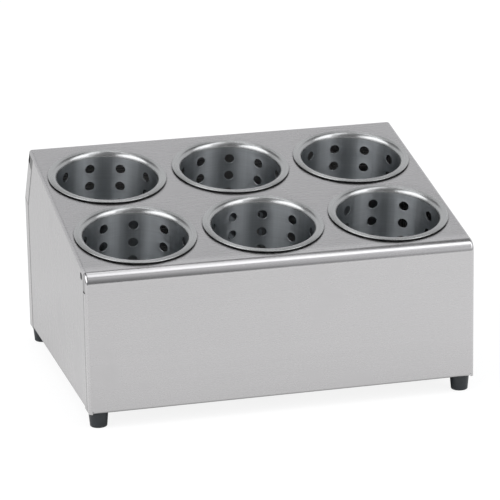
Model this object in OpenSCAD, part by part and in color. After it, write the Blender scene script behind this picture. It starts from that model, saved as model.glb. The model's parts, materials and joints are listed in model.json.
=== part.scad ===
// Counter-top cutlery dispenser: a folded sheet-steel housing on four rubber feet.
// Six perforated cups hang by their rims in the sloped top panel and lift out square to it.
// Units are millimetres. +Z is up, +X runs along the front, +Y points to the back.
// The origin lies on the table, under the middle of the housing.

/* [Housing] */
// Width of the housing along its front
body_w = 370; // [368:1:440]
// Height of the sharp front corner above the housing's bottom edge
front_h = 131; // [122:0.5:160]
// Slope of the top panel, degrees from level
slope_angle = 12.5; // [9:0.5:17]
// Length of the top panel along its slope, corner to corner
slope_l = 266.5; // [258:0.5:300]
// Lean of the upper back panel, degrees from vertical
back_lean = 32; // [24:1:38]
// Length of the upper back panel, corner to corner
back_lean_l = 65; // [52:0.5:72]
// Thickness of the housing sheet
sheet_t = 1.2; // [0.8:0.1:1.5]
// Outer radius of the bend between top and front
front_bend_r = 11; // [8:0.5:14]
// Outer radius of all the other bends
edge_r = 3; // [2.4:0.1:4]
// Width of the bottom lips that stiffen the housing and carry the feet
lip_w = 20; // [18:0.5:26]

/* [Corner joints] */
// Width of the front panel's side flanges
front_flange_w = 10; // [8:0.5:13]
// Distance from the sharp front corner down to the front flanges' upper ends
front_flange_drop = 17; // [15:0.5:24]
// Width of the back panels' side flanges
back_flange_w = 17; // [13:0.5:20]
// Distance from the sharp corner behind the top down to the back flanges' upper ends
back_flange_drop = 12.5; // [11.5:0.5:15]
// Open seam between a flange and the side panel
seam_gap = 0.6; // [0.3:0.1:1]
// Height of the open notch above each front flange
notch_h = 1.6; // [1:0.1:3]
// Diameter of the relief holes beside the bends
relief_d = 7; // [5:0.5:8]
// Distance of the front relief holes behind the front panel
relief_setback = 18; // [15:0.5:24]
// Length of the relief slots above the back flanges
back_relief_l = 10.5; // [8:0.5:12]

/* [Cups] */
// Distance between neighbouring cups, along the front and up the slope
cup_pitch = 122.5; // [118:0.5:124]
// Distance from the sharp front corner up the slope to the middles of the front cups
first_cup_s = 71; // [69:0.5:73]
// Inside diameter of a cup
cup_d = 97; // [92:0.5:98]
// Height of a cup from its rim to its base
cup_h = 137; // [115:1:139]
// Thickness of the cup sheet
cup_t = 0.8; // [0.6:0.1:1]
// Outside diameter of the flat rim
rim_d = 114; // [112:0.5:116]
// Radius of the flare between wall and rim, on its upper side
flare_r = 4.5; // [3.5:0.1:5.5]
// Radius between wall and base, on the outside
base_r = 6; // [4:0.5:9]
// Height of the rim's underside above the top panel
rim_lift = 1.2; // [0.6:0.1:1.8]
// Clearance between the flare and the edge of its hole in the top panel
seat_gap = 0.3; // [0.2:0.05:0.5]

/* [Perforation] */
// Diameter of the holes in the cup wall and base
hole_d = 9.5; // [6:0.5:11]
// Holes around the wall in each row
hole_columns = 10; // [6:1:12]
// Rows of holes down the wall
hole_rows = 6; // [2:1:6]
// Depth of the first row below the top panel
first_row = 14.5; // [13:0.5:17]
// Distance between rows
row_pitch = 18.5; // [16:0.5:19]
// Radius of the inner ring of base holes
base_ring_inner = 15; // [13:0.5:18]
// Radius of the outer ring of base holes
base_ring_outer = 31; // [29:0.5:34]

/* [Feet] */
// Height of a rubber foot
foot_h = 15; // [12:0.5:20]
// Diameter of a foot where it meets the housing
foot_top_d = 18.4; // [16:0.2:20]
// Diameter of a foot at the table
foot_bottom_d = 16; // [15:0.2:18]
// Rounding of a foot's bottom edge
foot_round = 1.3; // [0.8:0.1:1.6]
// Distance from the housing's side to a foot's middle
foot_inset_x = 10.5; // [10:0.5:14]
// Distance from the housing's front or back to a foot's middle
foot_inset_y = 12; // [11.5:0.5:13.5]
// Depth of the recess that takes the screw head
recess_h = 7.5; // [6:0.5:9]
// Diameter of that recess
recess_d = 10.4; // [9.8:0.1:10.6]
// Diameter of the foot screws
screw_d = 5; // [4:0.5:5]
// Diameter of a screw head
screw_head_d = 8.6; // [8:0.1:9]
// Height of a screw head
screw_head_h = 3.2; // [2.5:0.1:3.6]
// Thickness of the washer over a screw head
washer_t = 1; // [0.6:0.1:1.4]
// Height of a foot nut
nut_h = 4; // [3:0.1:5]
// Width of a foot nut across its flats
nut_flats = 8; // [7.5:0.5:10]
// Length of screw that stands out of its nut
screw_proud = 2; // [1:0.5:4]
// Clearance around a screw in its holes
screw_gap = 0.3; // [0.2:0.05:0.5]
// Clearance between a nut's thread and its screw, on the radius
thread_gap = 0.05; // [0.02:0.01:0.1]

/* [Hidden] */

$fn = 96;
sheet_colour = [0.72, 0.72, 0.73];
cup_colour = [0.62, 0.63, 0.64];
rubber_colour = [0.2, 0.22, 0.24];
zinc_colour = [0.66, 0.66, 0.62];
cut = 1; // how far a cutting shape runs past what it cuts

// Side outline of the housing: the sharp corners of its outer skin, as [distance behind the front, height].
// Every run between two corners has a heading in degrees: 0 points to the back and 90 points up.
// Corners and bends are kept to a thousandth of a millimetre.
function whole(v) = round(1000 * v) / 1000;
function toward(heading) = [cos(heading), sin(heading)];
head_front = 90;
head_top = slope_angle;
head_lean = back_lean - 90;
head_back = -90;
corner_front = [0, front_h];
corner_back = corner_front + slope_l * toward(head_top);
corner_kink = corner_back + back_lean_l * toward(head_lean);
body_d = whole(corner_kink[0]);
back_h = whole(corner_kink[1]);

// Length that a bend of outer radius r takes from each of the two runs that it joins
function bend_reach(r, before, after) = whole(r * tan((before - after) / 2));
front_reach = bend_reach(front_bend_r, head_front, head_top);
back_reach = bend_reach(edge_r, head_top, head_lean);
kink_reach = bend_reach(edge_r, head_lean, head_back);

// A corner of the outline once every run has moved inwards by d
function inset(corner, before, after, d) =
    let (a = toward(before + 90), b = toward(after + 90))
    corner - d * (a + b) / (1 + a * b);

// Cup sizes that follow from the ones above
wall_r = cup_d / 2;
flare_middle_r = wall_r + flare_r;
rim_top = rim_lift + cup_t;
flare_middle_z = rim_top - flare_r;
flare_under_r = flare_r - cup_t;
// the edge of the hole in the top panel lies one clearance inside the flare's underside
panel_hole_r = flare_middle_r - sqrt(pow(flare_under_r - seat_gap, 2) - pow(min(flare_middle_z, 0), 2));
base_z = rim_top - cup_h;

// Foot sizes that follow from the ones above
screw_hole_d = screw_d + 2 * screw_gap;
washer_d = recess_d - 2 * screw_gap;

// An upright cylinder of diameter d from one height to another
module cylinder_from(low, high, d) {
    translate([0, 0, low])
        cylinder(d = d, h = high - low);
}

// Moves a run's own frame to its corner: Y runs along the heading, Z points out of the housing
module on_run(corner, heading) {
    translate([0, corner[0] - body_d / 2, corner[1] + foot_h])
        rotate([heading, 0, 0])
            children();
}

// Extrudes a section, drawn as [x, height above the outer skin], from one length to another along a run
module along(from, to) {
    translate([0, to, 0])
        rotate([90, 0, 0])
            linear_extrude(height = to - from)
                children();
}

// A band of full width, square below and with round upper corners
module round_topped(w, h, r) {
    translate([-w / 2, -h])
        square([w, h - r]);
    translate([r - w / 2, -2 * r])
        square([w - 2 * r, 2 * r]);
    for (side = [-1, 1])
        translate([side * (w / 2 - r), -r])
            circle(r);
}

// Section of a run: the flat sheet, a bend at each side, and flanges down to a depth
module skin_section(depth) {
    intersection() {
        difference() {
            round_topped(body_w, depth + 2 * edge_r, edge_r);
            translate([0, -sheet_t])
                round_topped(body_w - 2 * sheet_t, depth + 2 * edge_r, edge_r - sheet_t);
        }
        translate([-body_w / 2, -depth])
            square([body_w, depth]);
    }
}

// Section of a run with no side bends
module flat_section() {
    w = body_w - 2 * edge_r - 2 * seam_gap;
    translate([-w / 2, -sheet_t])
        square([w, sheet_t]);
}

// Section of a run with nothing but its side bends and flanges
module side_section(depth) {
    difference() {
        skin_section(depth);
        translate([edge_r - body_w / 2, -2 * sheet_t])
            square([body_w - 2 * edge_r, 4 * sheet_t]);
    }
}

// Carries a section round a bend of outer radius r, past the end (way 1) or the start (way -1) of a run
module bend(at, way, turn, r) {
    translate([0, at, -r])
        mirror([0, way > 0 ? 1 : 0, 0])
            rotate([0, -90, 180])
                rotate_extrude(angle = turn)
                    translate([r, 0])
                        rotate(-90)
                            children();
}

// Bottom lip past the end (way 1) or the start (way -1) of a run, with its bend
module lip(end, way) {
    w = body_w - 2 * edge_r - 2 * seam_gap;
    bend(end - way * edge_r, way, 90, edge_r)
        flat_section();
    translate([-w / 2, way > 0 ? end - sheet_t : end, -lip_w])
        cube([w, sheet_t, lip_w - edge_r]);
}

// Cuts the flanges of a run slantwise at one end, where they meet the next run's flanges
module mitre_cut(at, way, turn) {
    slant = tan(turn / 2);
    start = at - way * seam_gap / 2 / cos(turn / 2);
    depth = back_flange_w + cut;
    translate([-body_w / 2 - cut, 0, -edge_r])
        rotate([90, 0, 90])
            linear_extrude(height = body_w + 2 * cut)
                polygon([
                    [start, 0],
                    [start - way * depth * slant, -depth],
                    [at + way * cut, -depth],
                    [at + way * cut, 0],
                ]);
}

// Side outline moved inwards by d, with the round front corner
module outline(d) {
    r = front_bend_r - d;
    reach = bend_reach(r, head_front, head_top);
    front_top = inset(corner_front, head_front, head_top, d);
    middle = front_top + reach * toward(-90) + [r, 0];
    polygon([
        [d, 0],
        front_top - [0, reach],
        front_top + reach * toward(head_top),
        inset(corner_back, head_top, head_lean, d),
        inset(corner_kink, head_lean, head_back, d),
        [body_d - d, 0],
    ]);
    translate(middle)
        circle(r);
}

// Middle of the relief hole near the front bend
function front_relief_at() =
    inset(corner_front, head_front, head_top, edge_r)
    + [relief_setback - edge_r, (relief_setback - edge_r) * tan(slope_angle) - relief_d / 2 - sheet_t];

// A point beside the upper back panel: so far down from the corner behind the top, and so far inside the skin
function beside_back(down, inside) = corner_back + down * toward(head_lean) + inside * toward(head_lean - 90);

// The relief holes, drawn as seen from the side
module relief_holes() {
    slot_l = back_relief_l - relief_d;
    translate(front_relief_at())
        circle(d = relief_d);
    // the slot runs from just under the top panel to a little below the upper end of the back flange
    translate(beside_back(back_flange_drop + seam_gap - relief_d / 2, (relief_d + edge_r) / 2))
        rotate(head_lean) {
            circle(d = relief_d);
            translate([-slot_l, -relief_d / 2])
                square([slot_l, relief_d]);
            translate([-slot_l, 0])
                circle(d = relief_d);
        }
}

// The flat of a side panel, drawn as seen from the side
module side_flat() {
    flange_top = front_h - front_flange_drop;
    seam = front_flange_w + seam_gap;
    lip_end = lip_w + seam_gap;
    difference() {
        outline(edge_r);
        // room for the front flange and the notch above it
        translate([-cut, -cut])
            square([seam + cut, flange_top + notch_h + cut]);
        // room for the back flange
        difference() {
            translate([0, -cut])
                square([body_d, front_h + slope_l]);
            polygon([
                [-cut, -2 * cut],
                [-cut, front_h + slope_l],
                [body_d, front_h + slope_l],
                beside_back(back_flange_drop - seam_gap, -cut),
                beside_back(back_flange_drop - seam_gap, back_flange_w + seam_gap),
                inset(corner_kink, head_lean, head_back, back_flange_w + seam_gap),
                [body_d - back_flange_w - seam_gap, -2 * cut],
            ]);
        }
        // the bottom bend starts here
        translate([lip_end, -cut])
            square([body_d - 2 * lip_end, edge_r + cut]);
        relief_holes();
    }
}

// Bend and lip along a side panel's bottom edge, on the +X side
module side_lip() {
    lip_end = lip_w + seam_gap;
    length = body_d - 2 * lip_end;
    translate([0, body_d / 2 - lip_end, foot_h])
        rotate([90, 0, 0])
            linear_extrude(height = length) {
                translate([body_w / 2 - lip_w, 0])
                    square([lip_w - edge_r, sheet_t]);
                translate([body_w / 2 - edge_r, edge_r])
                    intersection() {
                        difference() {
                            circle(edge_r);
                            circle(edge_r - sheet_t);
                        }
                        translate([0, -edge_r])
                            square(edge_r);
                    }
            }
}

module side_panel(side) {
    color(sheet_colour)
        mirror([side < 0 ? 1 : 0, 0, 0]) {
            translate([body_w / 2 - sheet_t, -body_d / 2, foot_h])
                rotate([90, 0, 90])
                    linear_extrude(height = sheet_t)
                        side_flat();
            side_lip();
        }
}

module top_panel() {
    color(sheet_colour)
        difference() {
            on_run(corner_front, head_top) {
                bend(front_reach, -1, head_front - head_top, front_bend_r)
                    skin_section(edge_r);
                along(front_reach, slope_l - back_reach)
                    skin_section(edge_r);
                bend(slope_l - back_reach, 1, head_top - head_lean, edge_r)
                    skin_section(edge_r);
            }
            for (column = [-1, 0, 1], row = [0, 1])
                at_cup(column, row)
                    cylinder_from(-sheet_t - cut, cut, 2 * panel_hole_r);
        }
}

// Screw holes through a bottom lip, for the feet at one end
module lip_screw_holes(end) {
    for (side = [-1, 1])
        at_foot(side, end)
            cylinder_from(foot_h - cut, foot_h + sheet_t + cut, screw_hole_d);
}

module front_panel() {
    color(sheet_colour)
        difference() {
            on_run([0, 0], head_front) {
                along(0, front_h - front_flange_drop)
                    side_section(front_flange_w);
                along(edge_r, front_h - front_reach)
                    skin_section(edge_r);
                lip(0, -1);
            }
            lip_screw_holes(-1);
        }
}

module upper_back_panel() {
    end = whole(back_lean_l) - kink_reach;
    color(sheet_colour)
        difference() {
            on_run(corner_back, head_lean)
                difference() {
                    union() {
                        along(back_reach, back_flange_drop)
                            skin_section(edge_r);
                        along(back_flange_drop, end)
                            skin_section(back_flange_w);
                        bend(end, 1, head_lean - head_back, edge_r)
                            skin_section(edge_r);
                    }
                    mitre_cut(end, 1, head_lean - head_back);
                }
            translate([-body_w / 2 - cut, -body_d / 2, foot_h])
                rotate([90, 0, 90])
                    linear_extrude(height = body_w + 2 * cut)
                        relief_holes();
        }
}

module back_panel() {
    color(sheet_colour)
        difference() {
            on_run([body_d, back_h], head_back)
                difference() {
                    union() {
                        along(kink_reach, back_h)
                            side_section(back_flange_w);
                        along(kink_reach, back_h - edge_r)
                            skin_section(edge_r);
                        lip(back_h, 1);
                    }
                    mitre_cut(kink_reach, -1, head_lean - head_back);
                }
            lip_screw_holes(1);
        }
}

// Half section of a cup's wall and base, drawn as [radius, height above the top panel]
module cup_section() {
    // wall
    translate([wall_r, base_z + base_r])
        square([cup_t, flare_middle_z - base_z - base_r]);
    // bend into the base
    translate([wall_r + cup_t - base_r, base_z + base_r])
        intersection() {
            difference() {
                circle(base_r);
                circle(base_r - cup_t);
            }
            translate([0, -base_r])
                square(base_r);
        }
    // base
    translate([0, base_z])
        square([wall_r + cup_t - base_r, cup_t]);
}

// Half section of a cup's rim, which carries on from the upper end of the wall
module cup_rim_section() {
    // flare
    translate([flare_middle_r, flare_middle_z])
        intersection() {
            difference() {
                circle(flare_r);
                circle(flare_under_r);
            }
            translate([-flare_r, 0])
                square(flare_r);
        }
    // flat rim with a round edge
    translate([flare_middle_r, rim_lift])
        square([rim_d / 2 - cup_t / 2 - flare_middle_r, cup_t]);
    translate([rim_d / 2 - cup_t / 2, rim_lift + cup_t / 2])
        circle(d = cup_t, $fn = 24);
}

// Moves to the middle of a cup's hole in the top panel:
// column -1, 0 or 1 along the front and row 0 or 1 up the slope
module at_cup(column, row) {
    on_run(corner_front, head_top)
        translate([column * cup_pitch, first_cup_s + row * cup_pitch, 0])
            children();
}

// A ring of holes through a cup's base
module base_holes(count, ring_r) {
    for (i = [0 : count - 1])
        rotate([0, 0, i * 360 / count])
            translate([ring_r, 0, base_z - cut])
                cylinder(d = hole_d, h = cup_t + 2 * cut, $fn = 48);
}

// Wall and base of a cup, which stands turned in its hole
module cup(column, row, turn) {
    base_middle_r = wall_r + cup_t - base_r;
    color(cup_colour)
        at_cup(column, row)
            rotate([0, 0, turn])
                difference() {
                    rotate_extrude()
                        cup_section();
                    for (i = [0 : hole_columns - 1], j = [0 : hole_rows - 1])
                        rotate([0, 0, i * 360 / hole_columns])
                            translate([base_middle_r, 0, -first_row - j * row_pitch])
                                rotate([0, 90, 0])
                                    cylinder(d = hole_d, h = base_r + cut, $fn = 48);
                    base_holes(1, 0);
                    base_holes(6, base_ring_inner);
                    base_holes(12, base_ring_outer);
                }
}

module cup_rim(column, row) {
    color(cup_colour)
        at_cup(column, row)
            rotate_extrude()
                cup_rim_section();
}

// Moves to the middle of a foot on the table: side -1 or 1 for left or right, end -1 or 1 for front or back
module at_foot(side, end) {
    translate([side * (body_w / 2 - foot_inset_x), end * (body_d / 2 - foot_inset_y), 0])
        children();
}

module foot(side, end) {
    bottom_r = foot_bottom_d / 2;
    color(rubber_colour)
        at_foot(side, end)
            rotate_extrude()
                difference() {
                    union() {
                        polygon([
                            [0, 0],
                            [bottom_r - foot_round, 0],
                            [bottom_r, foot_round],
                            [foot_top_d / 2, foot_h],
                            [0, foot_h],
                        ]);
                        translate([bottom_r - foot_round, foot_round])
                            circle(foot_round, $fn = 48);
                    }
                    translate([-2 * bottom_r, -cut])
                        square([2 * bottom_r + screw_hole_d / 2, foot_h + 2 * cut]);
                    translate([-cut, -cut])
                        square([recess_d / 2 + cut, recess_h + cut]);
                }
}

module foot_washer(side, end) {
    color(zinc_colour)
        at_foot(side, end)
            translate([0, 0, recess_h - washer_t])
                difference() {
                    cylinder(d = washer_d, h = washer_t);
                    translate([0, 0, -cut])
                        cylinder(d = screw_hole_d, h = washer_t + 2 * cut);
                }
}

module foot_screw(side, end) {
    head_top = recess_h - washer_t;
    slot_w = screw_d / 4;
    color(zinc_colour)
        at_foot(side, end)
            difference() {
                union() {
                    translate([0, 0, head_top - screw_head_h])
                        cylinder(d = screw_head_d, h = screw_head_h);
                    cylinder_from(head_top, foot_h + sheet_t + nut_h + screw_proud, screw_d);
                }
                for (turn = [0, 90])
                    rotate([0, 0, turn])
                        translate([-screw_d / 2, -slot_w / 2, head_top - screw_head_h - cut])
                            cube([screw_d, slot_w, cut + screw_head_h / 2]);
            }
}

module foot_nut(side, end) {
    color(zinc_colour)
        at_foot(side, end)
            translate([0, 0, foot_h + sheet_t])
                difference() {
                    cylinder(d = nut_flats / cos(30), h = nut_h, $fn = 6);
                    translate([0, 0, -cut])
                        cylinder(d = screw_d + 2 * thread_gap, h = nut_h + 2 * cut);
                }
}

top_panel();
front_panel();
upper_back_panel();
back_panel();
side_panel(-1);  // side_panel_left
side_panel(1);  // side_panel_right
cup(-1, 0, 7);  // cup_front_left
cup(0, 0, 3);  // cup_front_middle
cup(1, 0, 17);  // cup_front_right
cup(-1, 1, 26);  // cup_back_left
cup(0, 1, 4);  // cup_back_middle
cup(1, 1, 20);  // cup_back_right
cup_rim(-1, 0);  // cup_rim_front_left
cup_rim(0, 0);  // cup_rim_front_middle
cup_rim(1, 0);  // cup_rim_front_right
cup_rim(-1, 1);  // cup_rim_back_left
cup_rim(0, 1);  // cup_rim_back_middle
cup_rim(1, 1);  // cup_rim_back_right
foot(-1, -1);  // foot_front_left
foot(1, -1);  // foot_front_right
foot(-1, 1);  // foot_back_left
foot(1, 1);  // foot_back_right
foot_washer(-1, -1);  // foot_washer_front_left
foot_washer(1, -1);  // foot_washer_front_right
foot_washer(-1, 1);  // foot_washer_back_left
foot_washer(1, 1);  // foot_washer_back_right
foot_screw(-1, -1);  // foot_screw_front_left
foot_screw(1, -1);  // foot_screw_front_right
foot_screw(-1, 1);  // foot_screw_back_left
foot_screw(1, 1);  // foot_screw_back_right
foot_nut(-1, -1);  // foot_nut_front_left
foot_nut(1, -1);  // foot_nut_front_right
foot_nut(-1, 1);  // foot_nut_back_left
foot_nut(1, 1);  // foot_nut_back_right
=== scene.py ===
"""Looks of a counter-top cutlery dispenser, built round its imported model.

Lengths are in metres, +Z is up, +X runs along the front and +Y points to the back.
Sizes of the cups and feet are given in millimetres and turned into metres where a mesh is placed.
"""

import json
import math

import bmesh
import bpy
import numpy as np
from mathutils import Matrix, Vector


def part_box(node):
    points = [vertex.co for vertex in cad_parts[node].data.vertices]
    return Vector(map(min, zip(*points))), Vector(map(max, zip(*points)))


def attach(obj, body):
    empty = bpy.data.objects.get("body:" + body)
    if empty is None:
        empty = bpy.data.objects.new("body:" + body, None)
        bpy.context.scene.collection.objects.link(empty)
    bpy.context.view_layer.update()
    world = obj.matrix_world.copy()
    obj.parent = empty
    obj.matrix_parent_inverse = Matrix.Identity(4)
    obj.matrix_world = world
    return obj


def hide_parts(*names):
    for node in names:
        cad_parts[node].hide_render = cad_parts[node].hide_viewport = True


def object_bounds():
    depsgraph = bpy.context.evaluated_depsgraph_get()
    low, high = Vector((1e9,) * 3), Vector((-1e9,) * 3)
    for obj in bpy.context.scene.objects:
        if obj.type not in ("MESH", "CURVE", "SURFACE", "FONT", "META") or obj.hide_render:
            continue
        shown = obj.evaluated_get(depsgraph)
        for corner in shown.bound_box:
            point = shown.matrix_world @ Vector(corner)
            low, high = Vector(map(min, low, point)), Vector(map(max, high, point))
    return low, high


bl_info = {
    "name": "Cutlery Dispenser",
    "version": (1, 0, 0),
    "blender": (4, 5, 0),
    "location": "View3D > Sidebar > Dispenser",
    "description": "Dresses the cutlery dispenser in brushed steel and rubber and sets its stage",
    "category": "Object",
}

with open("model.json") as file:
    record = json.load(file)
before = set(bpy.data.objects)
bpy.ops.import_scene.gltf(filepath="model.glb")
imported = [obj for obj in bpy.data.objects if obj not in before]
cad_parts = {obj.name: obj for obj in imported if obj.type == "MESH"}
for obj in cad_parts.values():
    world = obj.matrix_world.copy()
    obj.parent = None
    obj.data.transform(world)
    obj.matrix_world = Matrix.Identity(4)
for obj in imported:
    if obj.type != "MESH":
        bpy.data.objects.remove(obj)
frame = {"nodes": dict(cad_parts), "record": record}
cad_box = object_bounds()
record = frame["record"]

CORNERS = ("front_left", "front_right", "back_left", "back_right")
FOOT_METAL = ("foot_washer_", "foot_screw_", "foot_nut_")
MM = 0.001

# the raised edge round a hole: how far each ring lies from the hole, in millimetres, and each ring's share
# of the edge's height, with two more shares for the plain sheet further out
BEAD_RINGS = (0.0, 0.2, 0.5, 0.85, 1.3)
BEAD_SHARES = (-0.12, 0.55, 1.0, 0.6, 0.0, 0.0, 0.0)
PLAIN_RINGS = (0.0,)

# rings of holes in a cup's base: how many, the radius they lie on, and the outer and inner edge of their band
BASE_RINGS = ((12, 31.0, 39.0, 23.0), (6, 15.0, 23.0, 8.0))

CELL_STEPS = 12      # steps round the cup across one column of holes
WELD_GRID = 2e5      # steps per metre on which points count as one, so 5 micrometres
PANEL_SHARP = math.radians(30)


# ---------------------------------------------------------------- sizes and colours


class DispenserSheet(bpy.types.PropertyGroup):
    """Finish of the folded housing."""

    colour: bpy.props.FloatVectorProperty(
        name="Steel colour", description="Colour of the brushed housing sheet",
        subtype="COLOR", size=3, min=0, max=1, default=(0.534, 0.527, 0.532))
    roughness: bpy.props.FloatProperty(
        name="Roughness", description="How far the grain spreads a reflection",
        subtype="FACTOR", min=0, max=1, default=0.27)
    grain_pitch: bpy.props.FloatProperty(
        name="Grain pitch", description="Distance between grain lines",
        subtype="DISTANCE", unit="LENGTH", min=0.0001, max=0.005, default=0.0007)
    grain_length: bpy.props.FloatProperty(
        name="Grain length", description="Length of a grain line",
        subtype="DISTANCE", unit="LENGTH", min=0.005, max=0.5, default=0.07)
    grain_depth: bpy.props.FloatProperty(
        name="Grain depth", description="Depth of the grain lines",
        subtype="DISTANCE", unit="LENGTH", min=0, max=0.001, default=0.00002)
    bend_radius: bpy.props.FloatProperty(
        name="Bend radius", description="Outer radius of the bend between the front and the slope",
        subtype="DISTANCE", unit="LENGTH", min=0.003, max=0.03, default=0.011)
    back_lean: bpy.props.FloatProperty(
        name="Back lean", description="How far the upper back leans from upright",
        subtype="ANGLE", unit="ROTATION", min=0, max=math.radians(60), default=math.radians(32))


class DispenserCups(bpy.types.PropertyGroup):
    """Sizes and finish of the perforated cups."""

    colour: bpy.props.FloatVectorProperty(
        name="Steel colour", description="Colour of the cups",
        subtype="COLOR", size=3, min=0, max=1, default=(0.53, 0.552, 0.568))
    roughness: bpy.props.FloatProperty(
        name="Roughness", description="Roughness of the cup walls",
        subtype="FACTOR", min=0, max=1, default=0.36)
    stretch: bpy.props.FloatProperty(
        name="Stretch", description="How far level grain draws reflections out upwards and downwards",
        subtype="FACTOR", min=0, max=1, default=0.92)
    grain_depth: bpy.props.FloatProperty(
        name="Grain depth", description="Depth of the grain lines",
        subtype="DISTANCE", unit="LENGTH", min=0, max=0.001, default=0.000012)
    sheet: bpy.props.FloatProperty(
        name="Sheet", description="Thickness of the cup sheet, in millimetres", min=0.3, max=2, default=0.8)
    rim_top: bpy.props.FloatProperty(
        name="Rim height", description="Height of the rim's upper face above the top panel, in millimetres",
        min=0.5, max=5, default=2.0)
    rim_diameter: bpy.props.FloatProperty(
        name="Rim diameter", description="Outside diameter of the rim, in millimetres",
        min=100, max=130, default=114)
    flare: bpy.props.FloatProperty(
        name="Flare radius", description="Radius between wall and rim on the upper side, in millimetres",
        min=1, max=8, default=4.5)
    base_radius: bpy.props.FloatProperty(
        name="Base radius", description="Radius between wall and base on the outside, in millimetres",
        min=2, max=12, default=6)
    hole: bpy.props.FloatProperty(
        name="Hole diameter", description="Diameter of the holes in wall and base, in millimetres",
        min=3, max=12, default=9.5)
    columns: bpy.props.IntProperty(
        name="Columns", description="Holes round the wall in each row", min=4, max=16, default=10)
    rows: bpy.props.IntProperty(
        name="Rows", description="Rows of holes down the wall", min=1, max=6, default=6)
    first_row: bpy.props.FloatProperty(
        name="First row", description="Depth of the first row below the top panel, in millimetres",
        min=10, max=30, default=14.5)
    row_pitch: bpy.props.FloatProperty(
        name="Row pitch", description="Distance between rows, in millimetres", min=12, max=30, default=18.5)
    bead: bpy.props.FloatProperty(
        name="Hole bead", description="Height of the raised edge round each hole, in millimetres",
        min=0, max=1, default=0.12)


class DispenserFeet(bpy.types.PropertyGroup):
    """Sizes and finish of the rubber feet."""

    colour: bpy.props.FloatVectorProperty(
        name="Rubber colour", description="Colour of the feet",
        subtype="COLOR", size=3, min=0, max=1, default=(0.017, 0.021, 0.025))
    plating: bpy.props.FloatVectorProperty(
        name="Plating colour", description="Colour of the screws, washers and nuts",
        subtype="COLOR", size=3, min=0, max=1, default=(0.6, 0.59, 0.55))
    bottom: bpy.props.FloatProperty(
        name="Bottom diameter", description="Diameter of a foot at the table, in millimetres",
        min=10, max=30, default=16)
    rounding: bpy.props.FloatProperty(
        name="Rounding", description="Rounding of the bottom edge, in millimetres",
        min=0.2, max=3, default=1.3)
    recess: bpy.props.FloatProperty(
        name="Recess diameter", description="Diameter of the recess for the screw head, in millimetres",
        min=5, max=15, default=10.4)
    recess_depth: bpy.props.FloatProperty(
        name="Recess depth", description="Depth of that recess, in millimetres", min=2, max=12, default=7.5)
    screw_hole: bpy.props.FloatProperty(
        name="Screw hole", description="Diameter of the hole for the screw, in millimetres",
        min=2, max=8, default=5.6)


class DispenserStage(bpy.types.PropertyGroup):
    """Camera and light."""

    lens: bpy.props.FloatProperty(
        name="Lens", description="Focal length of the camera, in millimetres",
        min=20, max=400, default=200.19)
    heading: bpy.props.FloatProperty(
        name="Heading", description="Turn of the camera from +Y towards +X",
        subtype="ANGLE", unit="ROTATION", default=0.2584)
    tilt: bpy.props.FloatProperty(
        name="Tilt", description="How far the camera looks down",
        subtype="ANGLE", unit="ROTATION", default=0.2809)
    roll: bpy.props.FloatProperty(
        name="Roll", description="Turn of the camera about its view",
        subtype="ANGLE", unit="ROTATION", default=-0.0167)
    place: bpy.props.FloatVectorProperty(
        name="Place", description="Where the camera stands",
        subtype="TRANSLATION", unit="LENGTH", size=3, default=(-0.6505, -2.5015, 0.8502))
    shift: bpy.props.FloatVectorProperty(
        name="Shift", description="How far the picture lies off the camera's axis, as a share of its width",
        size=2, default=(-0.00697, 0.0211))
    sky: bpy.props.FloatProperty(
        name="Sky", description="Strength of the studio light from all round", min=0, max=4, default=1.0)
    softbox: bpy.props.FloatProperty(
        name="Softbox", description="Power of the large overhead light, in watts", min=0, max=200, default=8)


# ---------------------------------------------------------------- shader maths


class Wire:
    """An output socket in an expression. Operators on it add Math nodes to its tree."""

    def __init__(self, tree, socket):
        self.tree = tree
        self.socket = socket

    @classmethod
    def node(cls, tree, kind, settings=None, inputs=None, output=0):
        """Adds a node, applies its settings first, then sets or links its sockets, and returns one output."""
        made = tree.nodes.new(kind)
        for name, value in (settings or {}).items():
            setattr(made, name, value)
        for name, value in (inputs or {}).items():
            socket = made.inputs[name]
            if isinstance(value, Wire):
                tree.links.new(value.socket, socket)
            else:
                socket.default_value = value
        return cls(tree, made.outputs[output] if made.outputs else None)

    def math(self, operation, *others):
        """The outcome of a Math node on this value and the others."""
        return Wire.node(self.tree, "ShaderNodeMath", {"operation": operation},
                         dict(enumerate((self, *others))))

    def __add__(self, other):
        return self.math("ADD", other)

    def __sub__(self, other):
        return self.math("SUBTRACT", other)

    def __mul__(self, other):
        return self.math("MULTIPLY", other)

    def __truediv__(self, other):
        return self.math("DIVIDE", other)

    def __pow__(self, other):
        return self.math("POWER", other)

    def __rsub__(self, other):
        return Wire.node(self.tree, "ShaderNodeMath", {"operation": "SUBTRACT"}, {0: other, 1: self})

    __radd__ = __add__
    __rmul__ = __mul__

    def split(self):
        """The x, y and z of a vector."""
        first = Wire.node(self.tree, "ShaderNodeSeparateXYZ", None, {0: self})
        return [Wire(self.tree, output) for output in first.socket.node.outputs]

    def smooth(self, low, high):
        """0 below low, 1 above high and smooth between them."""
        return Wire.node(self.tree, "ShaderNodeMapRange", {"interpolation_type": "SMOOTHSTEP"},
                         {"Value": self, "From Min": low, "From Max": high, "To Min": 0.0, "To Max": 1.0})

    def band(self, rise, fall):
        """1 between two soft edges and 0 outside them. Each edge is given as where it starts and ends."""
        return self.smooth(*rise) * (1.0 - self.smooth(*fall))


def joined(tree, x, y, z):
    """A vector from its three parts."""
    return Wire.node(tree, "ShaderNodeCombineXYZ", None, {0: x, 1: y, 2: z})


def varied(middle, *patterns):
    """middle, moved by patterns of 0 to 1. Each comes with its whole swing, half of it either way."""
    for pattern, swing in patterns:
        middle = middle + (pattern - 0.5) * swing
    return middle


def object_point(tree):
    """Where a point of the surface lies, in the object's own metres."""
    return Wire.node(tree, "ShaderNodeTexCoord", None, None, "Object")


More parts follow.
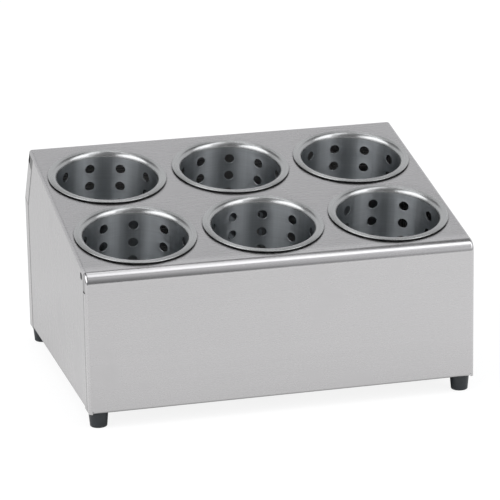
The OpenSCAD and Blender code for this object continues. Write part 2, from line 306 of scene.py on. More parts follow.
def place_coordinates(tree, centre=(0, 0, 0), scale=(1, 1, 1)):
    """Object coordinates, moved so that centre is at zero and then scaled."""
    moved = Wire.node(tree, "ShaderNodeVectorMath", {"operation": "SUBTRACT"},
                      {0: object_point(tree), 1: centre})
    return Wire.node(tree, "ShaderNodeMapping", {"vector_type": "POINT"}, {"Vector": moved, "Scale": scale})


def noise(tree, vector, detail=2.0, roughness=0.5, scale=1.0):
    """A soft random pattern round 0.5, whose spots lie about a unit of the scaled vector apart."""
    return Wire.node(tree, "ShaderNodeTexNoise", None,
                     {"Vector": vector, "Scale": scale, "Detail": detail, "Roughness": roughness,
                      "Distortion": 0.0})


# ---------------------------------------------------------------- finishes


def new_material(name):
    """An empty material, ready for its shader."""
    made = bpy.data.materials.new(name)
    made.use_nodes = True
    made.node_tree.nodes.clear()
    return made, made.node_tree


def finish_material(tree, shader):
    """Joins a shader to the material's output."""
    Wire.node(tree, "ShaderNodeOutputMaterial", None, {"Surface": shader})


def tinted(tree, colour, gain, warm=0.0):
    """A colour whose lightness follows gain, a value near 1, and that leans to red by the share warm."""
    grey = Wire.node(tree, "ShaderNodeCombineColor", None,
                     {0: gain * (1.0 + warm), 1: gain, 2: gain * (1.0 - warm)})
    return Wire.node(tree, "ShaderNodeMix", {"data_type": "RGBA", "blend_type": "MULTIPLY"},
                     {0: 1.0, 6: (*colour, 1.0), 7: grey}, 2)


def steel_shader(tree, colour, gain, roughness, height, depth, stretch=0.0, warm=0.0):
    """Metal whose lightness, roughness and surface height follow the given values.

    depth is the metres in one unit of height. stretch draws reflections out upwards and downwards, as grain
    lines that run level do. warm is the share by which the colour leans to red.
    """
    normal = Wire.node(tree, "ShaderNodeBump", None, {"Strength": 1.0, "Distance": depth, "Height": height})
    return Wire.node(tree, "ShaderNodeBsdfPrincipled", {"distribution": "MULTI_GGX"},
                     {"Base Color": tinted(tree, colour, gain, warm), "Metallic": 1.0, "Roughness": roughness,
                      "Anisotropic": stretch, "Anisotropic Rotation": 0.25, "Normal": normal})


def along_axis(axis, across, along):
    """A scale for grain lines: along on the axis they run by, and across on the other two."""
    scale = [across, across, across]
    scale[axis] = along
    return scale


def bend_gloss_and_painted_light(y, bend, gain, rough):
    """The front bend is smoother than the flat, a painted dark reflection line marks its end, and a painted
    sheen makes the flat behind paler.
    """
    # darker is the depth of the painted dark reflection line, paler the strength of the painted sheen
    smoother, darker, paler = 0.09, 0.34, 0.19
    behind = y - bend
    on_bend = 1.0 - behind.smooth(-0.003, 0.0)
    # painted dark reflection line where the bend meets the flat, then a painted sheen on the flat just behind
    # it
    line = behind.band((-0.0016, -0.0006), (0.0, 0.001))
    strip = behind.band((0.0, 0.001), (0.003, 0.012))
    return (gain + strip * paler) * (1.0 - line * darker), rough - on_bend * smoother


def seam_painted_shade(y, z, seam, lean, gain):
    """A side panel has painted shade along the flanges of its front edge and its back edge, which leans above
    the kink.
    """
    fore, back, kink = seam
    # shaded and darker are the depths of the painted shadow and of the painted shade at the seam edges
    shaded, darker = 0.45, 0.5
    past_upright = y - back
    past_leaning = past_upright * math.cos(lean) + (z - kink) * math.sin(lean)
    past_back = past_upright.math("MAXIMUM", past_leaning)
    # painted shadow beside the back seam, and painted shade in the gaps at the back and front seams
    shadow = past_back.smooth(-0.0046, -0.0018)
    back_edge_painted_shade = past_back.smooth(-0.0016, -0.001)
    front_edge_painted_shade = (fore - y).smooth(-0.0014, -0.0008)
    return gain * (1.0 - shadow * shaded - back_edge_painted_shade * darker) * (1.0 - front_edge_painted_shade * darker)


def rim_dip_and_painted_shadow(tree, rings, rim_r, gain, height):
    """Round each cup's opening the sheet dips slightly, and a thin painted shadow darkens it where the rim
    rests above it.
    """
    # darker is the depth of the painted rim shadow
    darker, depth = 0.35, 14.0
    here = object_point(tree)
    nearest = None
    for centre in rings:
        far = Wire.node(tree, "ShaderNodeVectorMath", {"operation": "DISTANCE"},
                        {0: here, 1: centre}, "Value")
        nearest = nearest.math("MINIMUM", far) if nearest else far
    # painted shadow of the raised rim, on the panel just under its edge and outside it
    painted_rim_shadow = nearest.band((rim_r - 0.0008, rim_r - 0.0002), (rim_r + 0.0003, rim_r + 0.0016))
    dip = 1.0 - nearest.smooth(rim_r - 0.007, rim_r + 0.013)
    return gain * (1.0 - painted_rim_shadow * darker), height - dip * depth


def housing_steel(name, sheet, grain_axis, stretch=0.0, bend=None, seam=None, rings=(), rim_r=0.0):
    """Brushed sheet: grain lines along one axis, broad faint streaks, handling marks and slow waves.

    bend is the y where the front bend meets the flat. seam is the y of a side panel's front and back edges,
    and the height of its kink. rings are the centres of the cup openings and rim_r is a rim's radius. A panel
    gets the marks of those that are given: painted light by the bend, painted shade by the seams, painted
    shadow at the rims.
    """
    made, tree = new_material(name)
    fine, long = 1 / sheet.grain_pitch, 1 / sheet.grain_length
    lines = place_coordinates(tree, scale=along_axis(grain_axis, fine, long))
    bands = place_coordinates(tree, (0.31, 0.17, 0.05), along_axis(grain_axis, fine / 9, long / 5))
    grain = noise(tree, lines, detail=3.0, roughness=0.6)
    streaks = noise(tree, bands, detail=2.0)
    marks = noise(tree, place_coordinates(tree, (0.2, -0.4, 0.3)), scale=14.0, detail=4.0, roughness=0.6)
    waves = noise(tree, place_coordinates(tree, (0.7, 0.1, 0.9)), scale=5.0, detail=1.0)
    gain = varied(1.0, (grain, 0.05), (streaks, 0.03), (marks, 0.06))
    rough = varied(sheet.roughness, (grain, 0.06)) + marks.smooth(0.5, 0.75) * 0.05
    height = grain * 0.16 + streaks * 0.2 + waves * 14.0
    _, y, z = object_point(tree).split()
    # painted light and shade: a dark reflection line and sheen by the bend, shade at the seams, a shadow
    # round each rim
    if bend is not None:
        gain, rough = bend_gloss_and_painted_light(y, bend, gain, rough)
    if seam is not None:
        gain = seam_painted_shade(y, z, seam, sheet.back_lean, gain)
    if rings:
        gain, height = rim_dip_and_painted_shadow(tree, rings, rim_r, gain, height)
    finish_material(tree, steel_shader(tree, sheet.colour, gain, rough, height, sheet.grain_depth, stretch))
    return made


def cup_steel(name, cups, inner, centre, tilt, shift):
    """Drawn steel: level grain lines round the cup, upright draw marks, and a smoother flare and rim.

    inner is the wall's inner radius. Between it and the outer face, the cut edges of the holes carry painted
    shade that keeps the holes dark.
    centre is where the cup's axis meets the panel, tilt is the axis's lean, and shift sets the patterns apart
    from the other cups'.
    """
    made, tree = new_material(name)
    upright = Wire.node(tree, "ShaderNodeMapping", {"vector_type": "POINT"},
                        {"Vector": place_coordinates(tree, centre), "Rotation": (-tilt, 0, 0)})
    x, y, z = upright.split()
    radius = (x * x + y * y).math("MAXIMUM", 1e-7) ** 0.5
    round_x, round_y = x / radius, y / radius

    def bands(around, upwards, **finish):
        """Draw marks: a pattern with this many units in one radian round the cup and in one metre upwards."""
        place = joined(tree, round_x * around + shift, round_y * around, z * upwards)
        return noise(tree, place, **finish)

    long, fine = 22.0, 900.0
    lines = joined(tree, x * long + shift, y * long, (radius + z) * fine)
    grain = noise(tree, lines, detail=3.0, roughness=0.6)
    broad = bands(9.0, 5.0, detail=1.0)
    narrow = bands(34.0, 9.0, detail=2.0, roughness=0.6)
    marks = noise(tree, upright, scale=45.0, detail=3.0)
    rim = z.smooth(-0.0045, -0.001)
    wall = 1.0 - rim
    outer = inner + cups.sheet * MM
    # painted shade on the holes' cut edges, in place of the bright reflection they would show
    cut = radius.band((inner + 0.0001, inner + 0.0002), (outer - 0.00028, outer - 0.00018))
    gain = varied(1.0, (grain, 0.26), (narrow, wall * 0.14), (broad, wall * 0.2), (marks, 0.08)) - rim * 0.1
    gain = gain * (1.0 - cut * wall * 0.8)
    rough = varied(cups.roughness, (grain, 0.12), (marks, 0.06)) - rim * 0.1
    height = grain * 0.6 + (narrow * 3.0 + broad * 16.0) * wall
    finish_material(tree, steel_shader(
        tree, cups.colour, gain, rough, height, cups.grain_depth, cups.stretch, rim * 0.03))
    return made


def rubber(name, colour):
    """Moulded rubber: a fine dull skin with lighter dust in it and slightly worn patches."""
    made, tree = new_material(name)
    pores = noise(tree, place_coordinates(tree), scale=2600.0, detail=2.0)
    dust = noise(tree, place_coordinates(tree, (0.3, 0.1, 0.2)), scale=160.0, detail=4.0, roughness=0.65)
    gain = varied(1.0, (dust, 0.9), (pores, 0.3))
    rough = varied(0.42, (dust, 0.3))
    normal = Wire.node(tree, "ShaderNodeBump", None,
                       {"Strength": 1.0, "Distance": 0.00005, "Height": pores + dust})
    skin = Wire.node(tree, "ShaderNodeBsdfPrincipled", None,
                     {"Base Color": tinted(tree, colour, gain), "Roughness": rough, "Normal": normal})
    finish_material(tree, skin)
    return made


def plated(name, colour):
    """Plated screws, nuts and washers: pale metal with turned rings and dull spots."""
    made, tree = new_material(name)
    turned = noise(tree, place_coordinates(tree, scale=(150, 150, 6000)), detail=2.0)
    spots = noise(tree, place_coordinates(tree), scale=420.0, detail=3.0)
    gain = varied(1.0, (turned, 0.2), (spots, 0.3))
    rough = 0.3 + spots.smooth(0.45, 0.7) * 0.22
    finish_material(tree, steel_shader(tree, colour, gain, rough, turned, 0.00001))
    return made


# ---------------------------------------------------------------- surfaces


class Surface:
    """Collects grids of points and welds them into one mesh."""

    def __init__(self):
        self.points = []
        self.quads = []
        self.count = 0

    def grid(self, points, flip=False):
        """Adds a (u, v, 3) grid with a quad between each four neighbours. The last u joins the first."""
        u, v = points.shape[:2]
        index = np.arange(u * v).reshape(u, v) + self.count
        index = np.vstack([index, index[:1]])
        quads = np.stack([index[:-1, :-1], index[1:, :-1], index[1:, 1:], index[:-1, 1:]], -1).reshape(-1, 4)
        self.quads.append(quads[:, ::-1] if flip else quads)
        self.points.append(points.reshape(-1, 3))
        self.count += u * v

    def holed(self, beaded, plain):
        """Adds both faces of a patch of sheet with a hole in it, and the hole's edge between them."""
        self.grid(beaded)
        self.grid(plain, flip=True)
        self.grid(np.stack([beaded[:, 0], plain[:, 0]], 1), flip=True)

    def place(self, origin, basis=np.eye(3)):
        """Turns millimetres into metres: point = origin + x, y and z times the three rows of basis."""
        self.points = [points * MM @ basis + origin for points in self.points]

    def build(self, name, sharp=35.0):
        """Welds points on a fine grid and returns a new object, smooth but for edges past sharp degrees."""
        points = np.concatenate(self.points)
        quads = np.concatenate(self.quads)
        _, first, inverse = np.unique(np.round(points * WELD_GRID).astype(np.int64), axis=0,
                                      return_index=True, return_inverse=True)
        quads = inverse.reshape(-1)[quads]
        mesh = bpy.data.meshes.new(name)
        mesh.from_pydata(points[first].tolist(), [], quads.tolist())
        mesh.validate()
        mesh.polygons.foreach_set("use_smooth", np.ones(len(mesh.polygons), bool))
        mesh.set_sharp_from_angle(angle=math.radians(sharp))
        mesh.update()
        made = bpy.data.objects.new(name, mesh)
        bpy.context.scene.collection.objects.link(made)
        return made


def arc(centre, radius, start, end, steps):
    """Points on a circle from one angle to another, in degrees: centre + radius * (cos a, sin a)."""
    a = np.radians(np.linspace(start, end, steps + 1))
    return np.stack([centre[0] + radius * np.cos(a), centre[1] + radius * np.sin(a)], -1)


def revolved(profile, angles):
    """Turns a profile of [radius, height] about the Z axis: x = r cos a, y = r sin a, z = height."""
    r, z = profile[None, :, 0], profile[None, :, 1]
    a = angles[:, None]
    return np.stack([r * np.cos(a), r * np.sin(a), z + 0 * a], -1)


def round_rectangle(half_w, half_h, across, up):
    """Points round a rectangle, anticlockwise from its lower right corner, in even steps on each side.

    The right side is (half_w, half_h * s) for s from -1 to 1, the top (-half_w * t, half_h), and so on.
    """
    s = np.linspace(-1, 1, up, endpoint=False)
    t = np.linspace(-1, 1, across, endpoint=False)
    sides = [np.stack([0 * s + half_w, half_h * s], -1), np.stack([-half_w * t, 0 * t + half_h], -1),
             np.stack([0 * s - half_w, -half_h * s], -1), np.stack([half_w * t, 0 * t - half_h], -1)]
    return np.concatenate(sides)


def punched(edge, hole_r, rings):
    """A patch with a round hole: rings at set distances from the hole, then halfway to its edge and the edge.

    Point = hole_r * d + ring * d close to the hole, with d the unit vector towards the edge point.
    """
    d = edge / np.linalg.norm(edge, axis=1, keepdims=True)
    near = [(hole_r + ring) * d for ring in rings]
    return np.stack(near + [(near[-1] + edge) / 2, edge], 1)


def on_wall(patch, inner, radius, turn, middle):
    """Bends a patch onto a cylinder.

    Point = (radius cos a, radius sin a, middle + y) with a = turn + x / inner.
    """
    a = turn + patch[..., 0] / inner
    return np.stack([radius * np.cos(a), radius * np.sin(a), middle + patch[..., 1]], -1)


def on_base(patch, ring_r, turn, height):
    """Lays a patch flat, ring_r from the cup's axis.

    Point = (u cos turn - y sin turn, u sin turn + y cos turn, height) with u = ring_r + x.
    """
    x, y = patch[..., 0] + ring_r, patch[..., 1]
    return np.stack([x * math.cos(turn) - y * math.sin(turn), x * math.sin(turn) + y * math.cos(turn),
                     height + 0 * x], -1)


# ---------------------------------------------------------------- cups


class CupForm:
    """The surface of a cup about its own axis, in millimetres, with the top panel's face at height 0.

    The wall and base are patches round the holes. Rim, flare and base bend are turned profiles. Each is
    drawn with both faces of the sheet.
    """

    def __init__(self, cups, bore, turn):
        self.surface = Surface()
        self.cups = cups
        self.turn = turn
        self.inner = bore["dims"]["r_mm"]
        self.outer = self.inner + cups.sheet
        self.wall_top = cups.rim_top - cups.flare
        self.base = self.wall_top - bore["dims"]["length_mm"] - cups.base_radius
        self.holes_top = -cups.first_row + cups.row_pitch / 2
        self.holes_low = self.holes_top - cups.rows * cups.row_pitch
        self.bead = np.array(BEAD_SHARES)[None, :] * cups.bead
        self.half_cell = math.pi / cups.columns
        self.segments = cups.columns * CELL_STEPS
        self.angles = turn - self.half_cell + np.arange(self.segments) * 2 * math.pi / self.segments

    def faces(self, edge):
        """The patch inside an edge, with its hole: once for the beaded face and once for the plain one."""
        return [punched(edge, self.cups.hole / 2, rings) for rings in (BEAD_RINGS, PLAIN_RINGS)]

    def add_wall(self):
        """Patches round the holes of each column and row, bent onto the cylinder."""
        cups = self.cups
        edge = round_rectangle(self.half_cell * self.inner, cups.row_pitch / 2, across=CELL_STEPS, up=8)
        beaded, plain = self.faces(edge)
        for column in range(cups.columns):
            turn = self.turn + column * 2 * self.half_cell
            for row in range(cups.rows):
                middle = -cups.first_row - row * cups.row_pitch
                self.surface.holed(on_wall(beaded, self.inner, self.inner - self.bead, turn, middle),
                                   on_wall(plain, self.inner, self.outer, turn, middle))

    def add_rim(self):
        """Up the inside, round the flare, over the flat rim, round its edge and back underneath."""
        cups = self.cups
        t, top = cups.sheet, cups.rim_top
        flare_at = (self.inner + cups.flare, self.wall_top)
        edge_at = (cups.rim_diameter / 2 - t / 2, top - t / 2)
        flat_end = edge_at[0] - 1.2
        profile = np.concatenate([
            [[self.inner, self.holes_top]], arc(flare_at, cups.flare, 180, 90, 14),
            [[flat_end, top]], arc(edge_at, t / 2, 90, -90, 8), [[flat_end, top - t]],
            arc(flare_at, cups.flare - t, 90, 180, 10), [[self.outer, self.holes_top]]])
        self.surface.grid(revolved(profile, self.angles), flip=True)

    def add_base(self):
        """Down the last of the wall, round the bend, and in over the rings of holes to the middle hole."""
        cups = self.cups
        upper, lower = self.base + cups.sheet, self.base
        flat_end, middle_edge = BASE_RINGS[0][2], BASE_RINGS[-1][3]
        bend_at = (self.outer - cups.base_radius, self.base + cups.base_radius)
        for wall, bend_r, height, flip in ((self.inner, cups.base_radius - cups.sheet, upper, False),
                                           (self.outer, cups.base_radius, lower, True)):
            profile = np.concatenate([[[wall, self.holes_low]], arc(bend_at, bend_r, 0, -90, 8),
                                      [[flat_end, height]]])
            self.surface.grid(revolved(profile, self.angles), flip=flip)
        for holes, ring_r, far, near in BASE_RINGS:
            half = math.pi / holes
            cell = round_rectangle(half, (far - near) / 2, across=self.segments // holes, up=6)
            r = cell[:, 1] + (far + near) / 2
            edge = np.stack([r * np.cos(cell[:, 0]) - ring_r, r * np.sin(cell[:, 0])], -1)
            beaded, plain = self.faces(edge)
            for i in range(holes):
                turn = self.turn + i * 2 * half
                self.surface.holed(on_base(beaded, ring_r, turn, upper + self.bead),
                                   on_base(plain, ring_r, turn, lower))
        hole_r = cups.hole / 2
        profile = np.array([[middle_edge, upper], [hole_r, upper], [hole_r, lower], [middle_edge, lower]])
        self.surface.grid(revolved(profile, self.angles))


def cup_mesh(cups, name, bore, turn):
    """A cup in its opening. Returns its object, where its axis meets the panel, and the axis's lean.

    Point = centre + x along the front + y up the slope + z along the axis.
    """
    form = CupForm(cups, bore, turn)
    form.add_wall()
    form.add_rim()
    form.add_base()
    axis = np.array(bore["axis"])
    centre = np.array(bore["pos_m"]) - axis * (form.wall_top - bore["dims"]["length_mm"] / 2) * MM
    slope = np.cross(axis, (1.0, 0.0, 0.0))
    form.surface.place(centre, np.stack([(1.0, 0.0, 0.0), slope, axis]))
    return form.surface.build(name), centre, math.atan2(-axis[1], axis[2])


class DISPENSER_OT_cups(bpy.types.Operator):
    """Builds the six perforated cups with their rims and beaded holes"""

    bl_idname = "dispenser.cups"
    bl_label = "Cups"
    # how far each cup stands turned in its hole, in degrees
    turns = {"cup_front_left": 7, "cup_front_middle": 3, "cup_front_right": 17,
             "cup_back_left": 26, "cup_back_middle": 4, "cup_back_right": 20}

    def execute(self, context):
        cups = context.scene.dispenser_cups
        bores = {m["name"]: m for m in record["mounts"]}
        for node, turn in self.turns.items():
            bore = bores[node + "_bore"]
            piece, centre, tilt = cup_mesh(cups, node + "_steel", bore, math.radians(turn))
            inner, shift = bore["dims"]["r_mm"] * MM, turn * 1.7
            finish = cup_steel(node + "_finish", cups, inner, tuple(centre), tilt, shift)
            piece.data.materials.append(finish)
            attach(piece, node)
            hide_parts(node, node.replace("cup_", "cup_rim_"))
        return {"FINISHED"}


# ---------------------------------------------------------------- housing


class DISPENSER_OT_housing(bpy.types.Operator):
    """Gives the folded panels their brushed finish, with the grain along the blank"""

    bl_idname = "dispenser.housing"
    bl_label = "Housing"

    def execute(self, context):
        sheet = context.scene.dispenser_sheet
        rim_r = context.scene.dispenser_cups.rim_diameter / 2 * MM
        bores = [m for m in record["mounts"] if m["kind"] == "bore"]
        rings = [tuple(np.array(m["pos_m"]) + np.array(m["axis"]) * m["dims"]["length_mm"] / 2 * MM)
                 for m in bores]
        # a cup's axis stands square to the slope, so its y is minus the sine of the slope's angle
        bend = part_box("top_panel")[0].y + sheet.bend_radius * (1 + bores[0]["axis"][1])
        top = housing_steel("brushed_top", sheet, 0, bend=bend, rings=rings, rim_r=rim_r)
        front = housing_steel("brushed_front", sheet, 0, 0.5)
        lengthwise = housing_steel("brushed_lengthwise", sheet, 0, 0.5)
        upright = housing_steel("brushed_upright", sheet, 2, seam=side_seam())
        smooth_copy("top_panel", top)
        smooth_copy("front_panel", front)
        for node in ("upper_back_panel", "back_panel"):
            smooth_copy(node, lengthwise)
        for node in ("side_panel_left", "side_panel_right"):
            smooth_copy(node, upright)
        return {"FINISHED"}


def side_seam():
    """The y of a side panel's front edge and back edge, and the height of the kink where its back leans."""
    points = values(frame["nodes"]["side_panel_left"].data.vertices, "co", 3)
    y, z = points[:, 1], points[:, 2]
    back = y.max()
    fore = y[z < z.mean() / 2].min()
    kink = z[y > back - 0.1 * MM].max()
    return float(fore), float(back), float(kink)


def values(items, name, size=1, kind=float):
    """One property of all the points, faces or corners of a mesh, as an array."""
    found = np.empty(len(items) * size, kind)
    items.foreach_get(name, found)
    return found.reshape(-1, size) if size > 1 else found


def corner_normals(mesh, limit):
    """A normal for each face corner: the mean over the faces round its point that lean little from its own.

    limit is the least cosine between the two. Each face counts with the whole area of its plane, squared, so
    a flat stays flat up to the bend beside it. Faces share a plane when their normals and their distances
    from the origin round to the same steps.
    """
    normal_steps, distance_steps = 2000, 2e4
    normals = values(mesh.polygons, "normal", 3)
    areas = values(mesh.polygons, "area")
    point = values(mesh.loops, "vertex_index", kind=np.int32)
    first = values(mesh.vertices, "co", 3)[point[values(mesh.polygons, "loop_start", kind=np.int32)]]
    plane = np.column_stack([normals * normal_steps, (first * normals).sum(1) * distance_steps])
    _, group = np.unique(plane.round().astype(np.int64), axis=0, return_inverse=True)
    weight = np.bincount(group.reshape(-1), areas)[group.reshape(-1)] ** 2

    # each corner is paired with every corner at its point, itself among them
    face = np.repeat(np.arange(len(areas)), values(mesh.polygons, "loop_total", kind=np.int32))
    sharing = np.bincount(point)
    starts = np.cumsum(sharing) - sharing
    pairs = sharing[point]
    corner = np.repeat(np.arange(len(point)), pairs)
    rank = np.arange(len(corner)) - np.repeat(np.cumsum(pairs) - pairs, pairs)
    other = np.argsort(point, kind="stable")[starts[point[corner]] + rank]
    own, beside = normals[face[corner]], normals[face[other]]
    counted = beside * (weight[face[other]] * ((own * beside).sum(1) > limit))[:, None]
    total = np.stack([np.bincount(corner, counted[:, axis]) for axis in range(3)], 1)
    return total / np.linalg.norm(total, axis=1, keepdims=True)


def smooth_copy(node, material):
    """A welded copy of a CAD node, shaded smooth round its bends and sharp at its cut edges."""
    mesh = frame["nodes"][node].data.copy()
    mesh.name = node + "_sheet"
    piece = bpy.data.objects.new(node + "_sheet", mesh)
    bpy.context.scene.collection.objects.link(piece)
    shape = bmesh.new()
    shape.from_mesh(mesh)
    bmesh.ops.remove_doubles(shape, verts=shape.verts, dist=2e-6)
    shape.to_mesh(mesh)
    shape.free()
    mesh.polygons.foreach_set("use_smooth", np.ones(len(mesh.polygons), bool))
    mesh.set_sharp_from_angle(angle=PANEL_SHARP)
    mesh.normals_split_custom_set(corner_normals(mesh, math.cos(PANEL_SHARP)).tolist())
    mesh.materials.clear()
    mesh.materials.append(material)
    body = next(b for b, nodes in record["behaviour"]["bodies"].items() if node in nodes)
    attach(piece, body)
    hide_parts(node)


# ---------------------------------------------------------------- feet


def foot_mesh(feet, name, low, high):
    """A rubber foot in its box: a turned profile, in millimetres, with a recess below for the screw's head.

    From the screw hole's upper edge it runs out over the top, down the taper, round the bottom edge, in to
    the recess, up into it and back to the hole.
    """
    centre = (low + high) / 2
    height = (high.z - low.z) / MM
    top_r, bottom_r = (high.x - low.x) / 2 / MM, feet.bottom / 2
    recess_r, hole_r = feet.recess / 2, feet.screw_hole / 2
    top_edge, bottom_edge = 0.4, feet.rounding
    profile = np.concatenate([
        [[hole_r, height]], arc((top_r - top_edge, height - top_edge), top_edge, 90, 0, 5),
        arc((bottom_r - bottom_edge, bottom_edge), bottom_edge, 0, -90, 10),
        [[recess_r, 0]], [[recess_r, feet.recess_depth]],
        [[hole_r, feet.recess_depth]], [[hole_r, height]]])
    surface = Surface()
    surface.grid(revolved(profile, np.arange(72) * math.radians(5)))
    surface.place(np.array((centre.x, centre.y, low.z)))
    return surface.build(name, 40)


class DISPENSER_OT_feet(bpy.types.Operator):
    """Builds the tapered rubber feet and finishes their screws, washers and nuts"""

    bl_idname = "dispenser.feet"
    bl_label = "Feet"

    def execute(self, context):
        feet = context.scene.dispenser_feet
        skin = rubber("foot_rubber_finish", feet.colour)
        metal = plated("plated_finish", feet.plating)
        for corner in CORNERS:
            piece = foot_mesh(feet, "foot_" + corner + "_rubber", *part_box("foot_" + corner))
            piece.data.materials.append(skin)
            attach(piece, "housing")
            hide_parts("foot_" + corner)
            for kind in FOOT_METAL:
                node = frame["nodes"][kind + corner]
                node.data.materials.clear()
                node.data.materials.append(metal)
        return {"FINISHED"}


# ---------------------------------------------------------------- stage


def ceiling_lamps(across, along):
    """1 on two large lamps overhead and 0 beside them, by where a ray meets a ceiling one metre up.

    across counts to the camera's right and along towards the camera. Each lamp starts behind the object,
    further back close to the middle, and ends on a slanting edge in front of it, but the left one runs on.
    A strip over the camera's line stays dark between them.
    """
    aside = across.math("ABSOLUTE")
    starts = (aside * 2.6 - 0.89).math("MINIMUM", -0.06)
    ends = (aside * 1.5 - 0.14).math("MINIMUM", 0.33).math("MAXIMUM", aside * 1.1 - 0.2)
    ends = ends + (across * -1.0).smooth(0.3, 0.5) * 2.0
    strip = across.band((-0.32, -0.24), (0.08, 0.16)) * along.smooth(-0.4, -0.3)
    return ((along - starts).smooth(-0.05, 0.08) * (ends - along).smooth(-0.06, 0.06)
            * (1.0 - aside.smooth(1.8, 3.2)) * (1.0 - strip))


def stage_world(strength, heading):
    """Studio light from all round, by a ray's direction, with the camera's side as the front.

    ahead is the cosine of the level angle from the front. The front is dim straight ahead and at the sides,
    with a pale screen between the two, and grows paler upwards, but for a wedge on the right that keeps the
    lower part of the front bend dark. The wall behind is pale up to 43 degrees, and the ceiling behind is
    dark. The camera itself sees white.
    """
    world = bpy.data.worlds.new("studio")
    world.use_nodes = True
    tree = world.node_tree
    tree.nodes.clear()
    x, y, z = Wire.node(tree, "ShaderNodeTexCoord", None, None, "Generated").split()
    to_front = x * -math.sin(heading) - y * math.cos(heading)
    to_right = x * math.cos(heading) - y * math.sin(heading)
    ahead = to_front / (x * x + y * y).math("MAXIMUM", 1e-6) ** 0.5
    up = z.math("MAXIMUM", 0.05)
    across, along = to_right / up, to_front / up
    aside = across.math("ABSOLUTE")

    screens = ahead.band((0.12, 0.4), (0.8, 0.895)) * (1.0 - z.smooth(0.3, 0.7)) * 0.5
    dim = (along - across * 1.6).smooth(0.0, 0.25) * across.smooth(0.1, 0.3)
    glow = z.math("MAXIMUM", 0.0) * (0.2 + aside.smooth(0.2, 0.5) * (0.7 - dim * 0.6))
    fore = 0.16 + glow + screens
    wall = 0.79
    ceiling = 0.14 + aside.smooth(0.45, 0.8) * 0.2
    rear = wall + z.smooth(0.68, 0.74) * (ceiling - wall)
    front = to_front.smooth(-0.25, 0.1)
    shade = rear * (1.0 - front) + fore * front + ceiling_lamps(across, along) * 1.65

    sky = Wire.node(tree, "ShaderNodeBackground", None,
                    {"Color": (0.98, 0.985, 1.0, 1.0), "Strength": shade * strength})
    white = Wire.node(tree, "ShaderNodeBackground", None, {"Color": (1.0, 1.0, 1.0, 1.0), "Strength": 1.0})
    camera = Wire.node(tree, "ShaderNodeLightPath", None, None, "Is Camera Ray")
    seen = Wire.node(tree, "ShaderNodeMixShader", None, {0: camera, 1: sky, 2: white})
    Wire.node(tree, "ShaderNodeOutputWorld", None, {"Surface": seen})
    return world


def floor_material(half_w, half_d):
    """Pale matte floor: white where nothing shades it, and it keeps the object's soft shadow.

    Reflections see a painted shade on its glow: calmer behind the object, a painted contact shade close round
    it and a painted shadow under it, within half_w and half_d of its middle.
    """
    made, tree = new_material("floor_white")
    camera = Wire.node(tree, "ShaderNodeLightPath", None, None, "Is Camera Ray")
    glossy = Wire.node(tree, "ShaderNodeLightPath", None, None, "Is Glossy Ray")
    x, y, _ = object_point(tree).split()

    def footprint(inside, outside):
        """1 under the object, fading out between these distances inside and outside its edge."""
        return ((1.0 - x.math("ABSOLUTE").smooth(half_w - inside, half_w + outside))
                * (1.0 - y.math("ABSOLUTE").smooth(half_d - inside, half_d + outside)))

    # painted shade in the floor's reflected glow: a painted shadow under the object and a painted contact
    # shade round it
    painted_shadow_under, painted_contact_shade = footprint(0.03, 0.02), footprint(0.0, 0.22)
    floor_glow_painted_shade = 0.88 + x.smooth(0.0, 0.4) * 0.05 - y.smooth(-0.1, 0.45) * 0.24 - painted_contact_shade * 0.12
    glow = camera * 0.87 + glossy * floor_glow_painted_shade * (1.0 - painted_shadow_under * 0.97)
    matte = Wire.node(tree, "ShaderNodeBsdfDiffuse", None, {"Color": (0.8, 0.8, 0.8, 1.0)})
    shaded = Wire.node(tree, "ShaderNodeBsdfDiffuse", None, {"Color": (0.16, 0.16, 0.16, 1.0)})
    lit = Wire.node(tree, "ShaderNodeEmission", None, {"Color": (1.0, 1.0, 1.0, 1.0), "Strength": glow})
    pale = Wire.node(tree, "ShaderNodeAddShader", None, {0: shaded, 1: lit})
    seen = (camera + glossy).math("MINIMUM", 1.0)
    finish_material(tree, Wire.node(tree, "ShaderNodeMixShader", None, {0: seen, 1: matte, 2: pale}))
    return made


def stage_camera(stage):
    """A camera that looks along its heading and tilt, turned about its view by its roll."""
    look = Vector((math.sin(stage.heading) * math.cos(stage.tilt),
                   math.cos(stage.heading) * math.cos(stage.tilt), -math.sin(stage.tilt)))
    level = look.cross(Vector((0, 0, 1))).normalized()
    upright = level.cross(look)
    c, s = math.cos(stage.roll), math.sin(stage.roll)
    right, up = level * c + upright * s, upright * c - level * s
    data = bpy.data.cameras.new("camera")
    data.lens, data.sensor_width = stage.lens, 36.0
    data.shift_x, data.shift_y = stage.shift
    data.clip_end = 50
    camera = bpy.data.objects.new("camera", data)
    camera.matrix_world = Matrix((
        (right.x, up.x, -look.x, stage.place[0]), (right.y, up.y, -look.y, stage.place[1]),
        (right.z, up.z, -look.z, stage.place[2]), (0, 0, 0, 1)))
    return camera


def stage_softbox(stage):
    """A large soft lamp above the object, which metals don't reflect."""
    data = bpy.data.lights.new("softbox", "AREA")
    data.shape, data.size, data.size_y, data.energy = "RECTANGLE", 1.6, 1.6, stage.softbox
    softbox = bpy.data.objects.new("softbox", data)
    softbox.location = (0.0, 0.1, 1.75)
    softbox.visible_glossy = False
    return softbox


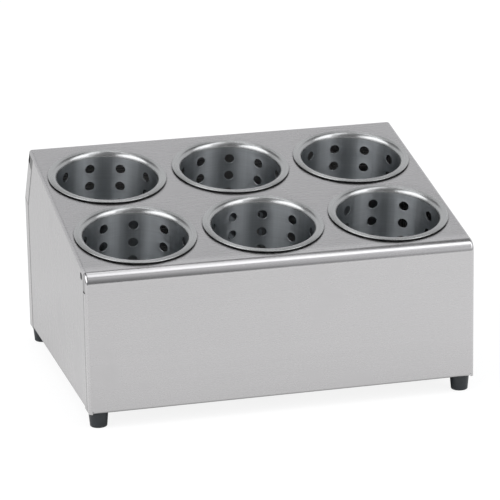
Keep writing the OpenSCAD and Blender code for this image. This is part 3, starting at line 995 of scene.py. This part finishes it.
def stage_floor(half):
    """A flat square floor that reaches half to each side."""
    mesh = bpy.data.meshes.new("floor")
    corners = [(-half, -half, 0), (half, -half, 0), (half, half, 0), (-half, half, 0)]
    mesh.from_pydata(corners, [], [(0, 1, 2, 3)])
    low, high = cad_box
    mesh.materials.append(floor_material((high.x - low.x) / 2, (high.y - low.y) / 2))
    return bpy.data.objects.new("floor", mesh)


class DISPENSER_OT_stage(bpy.types.Operator):
    """Sets the camera, the pale floor and the soft studio light"""

    bl_idname = "dispenser.stage"
    bl_label = "Stage"

    def execute(self, context):
        stage = context.scene.dispenser_stage
        scene = context.scene
        camera, softbox, floor = stage_camera(stage), stage_softbox(stage), stage_floor(half=4.0)
        for made in (camera, softbox, floor):
            scene.collection.objects.link(made)
        scene.camera = camera
        scene.world = stage_world(stage.sky, stage.heading)
        scene.view_settings.view_transform = "Standard"
        return {"FINISHED"}


class DISPENSER_PT_panel(bpy.types.Panel):
    """Lists the dispenser's pieces"""

    bl_label = "Cutlery Dispenser"
    bl_idname = "DISPENSER_PT_panel"
    bl_space_type = "VIEW_3D"
    bl_region_type = "UI"
    bl_category = "Dispenser"

    def draw(self, context):
        scene = context.scene
        for title, group, operator in (
                ("Housing", scene.dispenser_sheet, "dispenser.housing"),
                ("Cups", scene.dispenser_cups, "dispenser.cups"),
                ("Feet", scene.dispenser_feet, "dispenser.feet"),
                ("Stage", scene.dispenser_stage, "dispenser.stage")):
            box = self.layout.box()
            box.label(text=title)
            for name in group.__annotations__:
                box.prop(group, name)
            box.operator(operator)


GROUPS = {"dispenser_sheet": DispenserSheet, "dispenser_cups": DispenserCups,
          "dispenser_feet": DispenserFeet, "dispenser_stage": DispenserStage}
CLASSES = (*GROUPS.values(), DISPENSER_OT_housing, DISPENSER_OT_cups, DISPENSER_OT_feet, DISPENSER_OT_stage,
           DISPENSER_PT_panel)


def register():
    for cls in CLASSES:
        bpy.utils.register_class(cls)
    for name, group in GROUPS.items():
        setattr(bpy.types.Scene, name, bpy.props.PointerProperty(type=group))


def unregister():
    for name in GROUPS:
        delattr(bpy.types.Scene, name)
    for cls in reversed(CLASSES):
        bpy.utils.unregister_class(cls)


def main():
    register()
    bpy.ops.dispenser.stage()
    bpy.ops.dispenser.housing()
    bpy.ops.dispenser.cups()
    bpy.ops.dispenser.feet()


if __name__ == "__main__":
    main()
